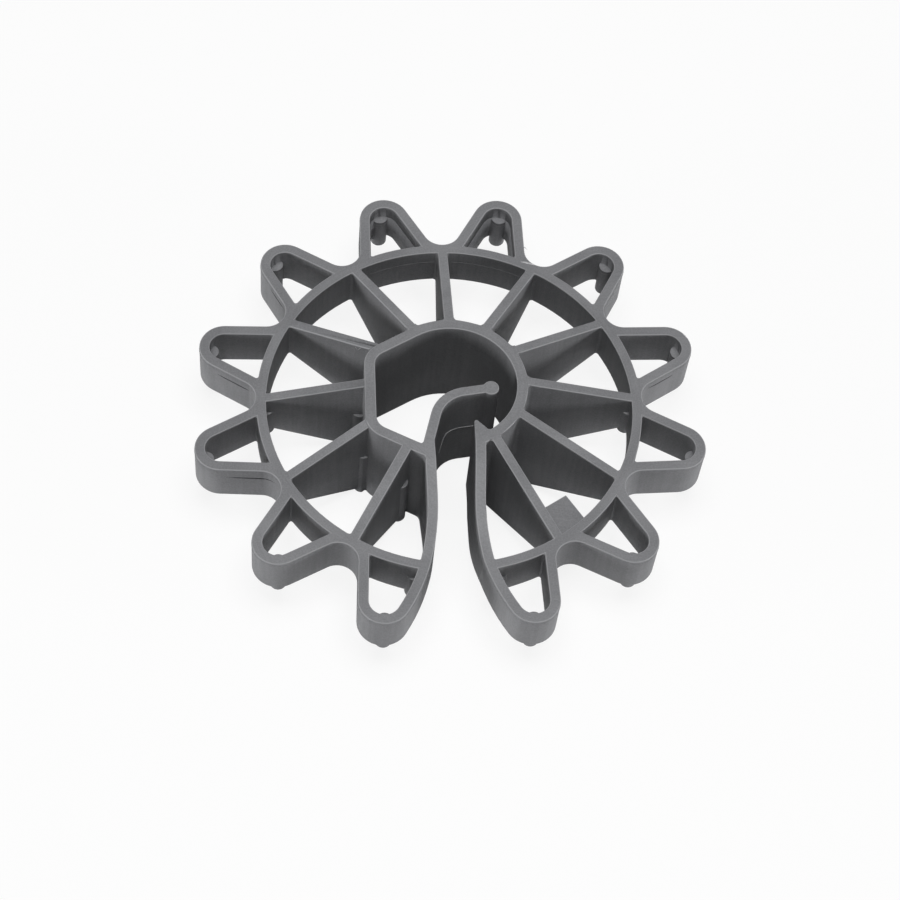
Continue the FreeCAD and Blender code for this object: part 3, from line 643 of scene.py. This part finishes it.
def stripPiece(name, lines, form):
    piece = newObject(name, lines)
    strip = piece.modifiers.new("strip", "NODES")
    strip.node_group = wallStrip
    for socket in wallStrip.interface.items_tree:
        if socket.name in form:
            strip[socket.identifier] = form[socket.name]
    mesh = plainMesh(piece, name)
    changeMesh(mesh, turnOutward)
    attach(piece, "root")
    print(name + ":", len(mesh.polygons), "faces")
    return piece


# parting ledges: thicker walls below them in the far lobes, and faint lines elsewhere

ledgeLook = {"ripple": 400.0, "unevenness": 0.25, "taper": 0.0, "finish": greyPlastic}
lobeLedge = {
    **ledgeLook,
    "height": 16.35 * mm,
    "reach": 0.3 * mm,
    "foot": 0.26 * mm,
    "drop": 6.9 * mm,
    "unevenness": 0.0,
    "zone": 43 * mm,           # the hollows of the lobes lie farther out than this
    "farSide": 45 * mm,
}
ringLedge = {
    **ledgeLook,
    "height": 16.4 * mm,
    "reach": 0.05 * mm,
    "foot": 0.02 * mm,
    "drop": 0.2 * mm,
    "zone": (41.5 * mm, 42.6 * mm),    # the ring's inner wall
    "farSide": 36.9 * mm,
}
tongueLine = {
    **ledgeLook,
    "height": 14.3 * mm,
    "reach": 0.2 * mm,
    "foot": 0.02 * mm,
    "drop": 0.08 * mm,
    # painted highlight: the line whitened so that it reads as lit inside the dark hub
    "finish": whiteningAndHighlight,
    "across": (-2.3 * mm, 5.4 * mm),
    "nearSide": -7.1 * mm,
    "farSide": -2.4 * mm,
    "slant": 1.1,              # of the far side, toward the tongue's root
    "root": -0.6 * mm,
    "fall": 2300.0,            # the line falls away at the root with the square of the distance
}
rimLine = {
    **ledgeLook,
    "height": 19.1 * mm,
    "reach": 0.06 * mm,
    "foot": 0.02 * mm,
    "drop": 0.16 * mm,
    "zone": 44.2 * mm,         # round the lobes, not between them
}


def farLobes():
    lobes = [path for path in evenPaths(lobeLedge["height"]) if min(map(reachOf, path)) > lobeLedge["zone"]]
    return [path for path in lobes if sum(point.y for point in path) / len(path) > lobeLedge["farSide"]]


def onFarRing(point):
    return ringLedge["zone"][0] < reachOf(point) < ringLedge["zone"][1] and point.y > ringLedge["farSide"]


def onTongue(point):
    # the face of the tongue that looks into the slot
    farSide = tongueLine["farSide"] + tongueLine["slant"] * min(0, point.x)
    inWidth = tongueLine["across"][0] < point.x < tongueLine["across"][1]
    return inWidth and tongueLine["nearSide"] < point.y < farSide


def onLobe(point):
    return reachOf(point) > rimLine["zone"]


def partingLedges():
    stripPiece("lobe_ledges", lineMesh(farLobes()), lobeLedge)
    stripPiece("ring_ledges", lineMesh(evenPaths(ringLedge["height"]), onFarRing), ringLedge)
    tongue = evenPaths(tongueLine["height"])
    for point in (point for path in tongue for point in path):
        point.z -= tongueLine["fall"] * max(0, tongueLine["root"] - point.x) ** 2
    stripPiece("tongue_line", lineMesh(tongue, onTongue), tongueLine)
    stripPiece("rim_line", lineMesh(rimOutline(rimLine["height"]), onLobe), rimLine)


partingLedges()


# marks left by the mould on the outer walls, drawn as strips of painted groove shade, scuffs, and torn flash

grooveShadeForm = {
    "places": (                # middle and half length, mm
        (-49.8, 6.9, 17.4, 4.4), (-39.7, 30.1, 18.1, 3.6), (-45.6, -18.6, 16.9, 5.6), (50.2, 7.1, 17.6, 3.6),
    ),
    "reach": 0.05 * mm,
    "foot": 0.05 * mm,
    "drop": 0.34 * mm,
    "ripple": 500.0,
    "unevenness": 0.8,
    "taper": 0.95,
    # painted groove shade
    "finish": grooveShade,
}
scuffForm = {
    "start": (41.38, 33.1),    # on one lobe's flank, mm
    "way": (0.48, 0.88),
    "places": (                # along the flank, upper end and lower end, mm
        (2.4, 19.6, 17.6), (1.5, 19.5, 16.2), (0.6, 19.7, 15.2), (-0.2, 19.6, 14.6),
        (-0.9, 19.7, 17.0), (-1.9, 19.6, 15.4), (-2.6, 19.6, 17.2), (-3.5, 19.7, 16.4),
    ),
    "drift": (-0.1, -0.2),     # of the lower end, mm
    "reach": 0.11 * mm,
    "foot": 0.11 * mm,
    "drop": 0.11 * mm,
    "ripple": 1500.0,
    "unevenness": 1.0,
    "taper": 0.8,
    "finish": whiteningAndHighlight,
}
flashForm = {
    "pieces": (                # points in mm, half width, mm
        (((18.7, 39.8, 20.0), (19.6, 39.6, 20.02), (20.7, 39.25, 20.04), (22.0, 38.8, 20.06)), 0.3),
        (((19.3, 44.7, 19.9), (20.0, 44.0, 19.95), (20.5, 43.5, 19.85)), 0.07),
        (((56.1, 18.9, 19.98), (56.6, 18.4, 20.0), (57.0, 17.8, 19.98)), 0.14),
        (((-20.5, 11.0, 25.7), (-20.95, 11.1, 24.9), (-21.15, 11.25, 24.2)), 0.09),
        (((-21.8, 11.7, 25.1), (-21.55, 11.5, 24.7), (-21.3, 11.4, 24.3)), 0.06),
    ),
    "drop": -0.1 * mm,         # it stands up from its line
    "ripple": 1500.0,
    "unevenness": 0.8,
    "taper": 0.8,
    "finish": whiteningAndHighlight,
}


def grooveShades():
    for number, (*place, half) in enumerate(grooveShadeForm["places"], 1):
        middle = Vector(place) * mm
        lines = lineMesh(rimOutline(middle.z), lambda point: (point - middle).length < half * mm)
        stripPiece(f"groove_shade_{number}", lines, grooveShadeForm)


def flankScuffs():
    lines = []
    for along, high, low in scuffForm["places"]:
        x, y = (begin + along * way for begin, way in zip(scuffForm["start"], scuffForm["way"]))
        upper = Vector((x, y, high)) * mm
        lower = Vector((x + scuffForm["drift"][0], y + scuffForm["drift"][1], low)) * mm
        lines.append([upper, (upper + lower) / 2, lower])
    stripPiece("flank_scuffs", lineMesh(lines, closed=False), scuffForm)


def tornFlash():
    for number, (points, width) in enumerate(flashForm["pieces"], 1):
        line = [Vector(point) * mm for point in points]
        form = {**flashForm, "reach": width * mm, "foot": width * mm}
        stripPiece(f"torn_flash_{number}", lineMesh([line], closed=False), form)


grooveShades()
flankScuffs()
tornFlash()


# floor, world and lamps

stageLook = {
    "floorSize": 6.0,
    "floorGap": 0.05 * mm,     # below the hub's end
    # painted shade: the floor sends back less light under the hub, where the wheel shades it
    "bounceUnderShade": (0.2, 0.95),        # light sent back from under the hub, and from beyond the rim
    "bounceReach": (25 * mm, 46 * mm),
    "floorShade": (0.9, 0.9, 0.9, 1.0),
    "floorWhite": 0.84,        # share of plain white that the camera sees in the floor
    "skyShade": (1.0, 1.0, 1.0, 1.0),
    "skyLight": 0.1,
    "skySeen": 1.0,            # what the camera sees beyond the floor
    "overPlace": (0.0, -0.1, 1.2),
    "overSize": 0.9,
    "overPower": 12.5,
    "sidePlace": (1.15, -0.4, 0.13),   # one on each side
    "sideSize": 0.32,
    "sidePower": 6.8,
}


def forCamera(make, light, seen):
    # the camera sees one shader, and the part is lit by the other
    cameraRay = make("ShaderNodeLightPath").outputs["Is Camera Ray"]
    return make("ShaderNodeMixShader", {0: cameraRay, 1: light, 2: seen}).outputs["Shader"]


def floorMaterial():
    material = bpy.data.materials.new("paleFloor")
    material.cycles.emission_sampling = "NONE"
    make = emptiedNodes(material)
    place = make("ShaderNodeTexCoord").outputs["Object"]
    reach = make("ShaderNodeVectorMath", {0: place}, operation="LENGTH").outputs["Value"]
    # painted shade: the floor darker under the hub for the light it sends back
    paintedFloorShade = ranged(make, reach, stageLook["bounceReach"], stageLook["bounceUnderShade"])
    bounce = make("ShaderNodeBsdfDiffuse", {"Color": paintedFloorShade})
    shaded = make("ShaderNodeBsdfDiffuse", {"Color": stageLook["floorShade"]})
    white = make("ShaderNodeEmission", {"Strength": 1.0})
    seen = make("ShaderNodeMixShader", {
        0: stageLook["floorWhite"],
        1: shaded.outputs["BSDF"],
        2: white.outputs["Emission"],
    })
    floor = forCamera(make, bounce.outputs["BSDF"], seen.outputs["Shader"])
    make("ShaderNodeOutputMaterial", {"Surface": floor})
    return material


def stageFloor():
    half = stageLook["floorSize"] / 2
    low = -stageLook["floorGap"]
    corners = [(-half, -half, low), (half, -half, low), (half, half, low), (-half, half, low)]
    mesh = bpy.data.meshes.new("floor")
    mesh.from_pydata(corners, [], [(0, 1, 2, 3)])
    mesh.materials.append(floorMaterial())
    return newObject("floor", mesh)


def paleWorld():
    world = bpy.data.worlds.new("paleWorld")
    scene.world = world
    make = emptiedNodes(world)
    light, seen = (
        make("ShaderNodeBackground", {"Color": stageLook["skyShade"], "Strength": stageLook[strength]})
        for strength in ("skyLight", "skySeen")
    )
    sky = forCamera(make, light.outputs["Background"], seen.outputs["Background"])
    make("ShaderNodeOutputWorld", {"Surface": sky})


def softLamp(name, place, size, power):
    # a round lamp that points at the hub's foot
    lamp = bpy.data.lights.new(name, "AREA")
    lamp.shape = "DISK"
    lamp.size = size
    lamp.energy = power
    holder = newObject(name, lamp)
    holder.location = place
    holder.rotation_euler = (-Vector(place)).to_track_quat("-Z", "Y").to_euler()


def stageLamps():
    softLamp("overLamp", stageLook["overPlace"], stageLook["overSize"], stageLook["overPower"])
    across, along, above = stageLook["sidePlace"]
    for side in (-1, 1):
        place = (side * across, along, above)
        softLamp(f"sideLamp{side}", place, stageLook["sideSize"], stageLook["sidePower"])


stageFloor()
paleWorld()
stageLamps()
scene.view_settings.view_transform = "Standard"
print("stage set")


# camera at the photograph's angle

cameraView = {
    "target": (0.0, 0.0, 20 * mm),      # wheel centre at the top of the rim
    "heading": 8.443,                   # degrees round the wheel, from straight in front of the slot
    "elevation": 58.377,
    "roll": 7.098,
    "distance": 541 * mm,
    "lens": 93.67,                      # mm
    "sensor": 36,                       # mm wide
    "clipStart": 10 * mm,
    "aside": (0.0, 0.02077),            # target's place in the frame, as a share of the distance
}


def photoCamera():
    view = cameraView
    data = bpy.data.cameras.new("photoCamera")
    data.lens = view["lens"]
    data.sensor_width = view["sensor"]
    data.clip_start = view["clipStart"]
    camera = newObject("photoCamera", data)
    turn = Matrix.Rotation(math.radians(-view["heading"]), 3, "Z")
    turn = turn @ Matrix.Rotation(math.radians(90 - view["elevation"]), 3, "X")
    turn = turn @ Matrix.Rotation(math.radians(view["roll"]), 3, "Z")
    across, above = view["aside"]
    reach = Vector((across, above, -1)) * view["distance"]
    place = Vector(view["target"]) - turn @ reach
    camera.matrix_world = Matrix.Translation(place) @ turn.to_4x4()
    scene.camera = camera


photoCamera()
print("camera placed")
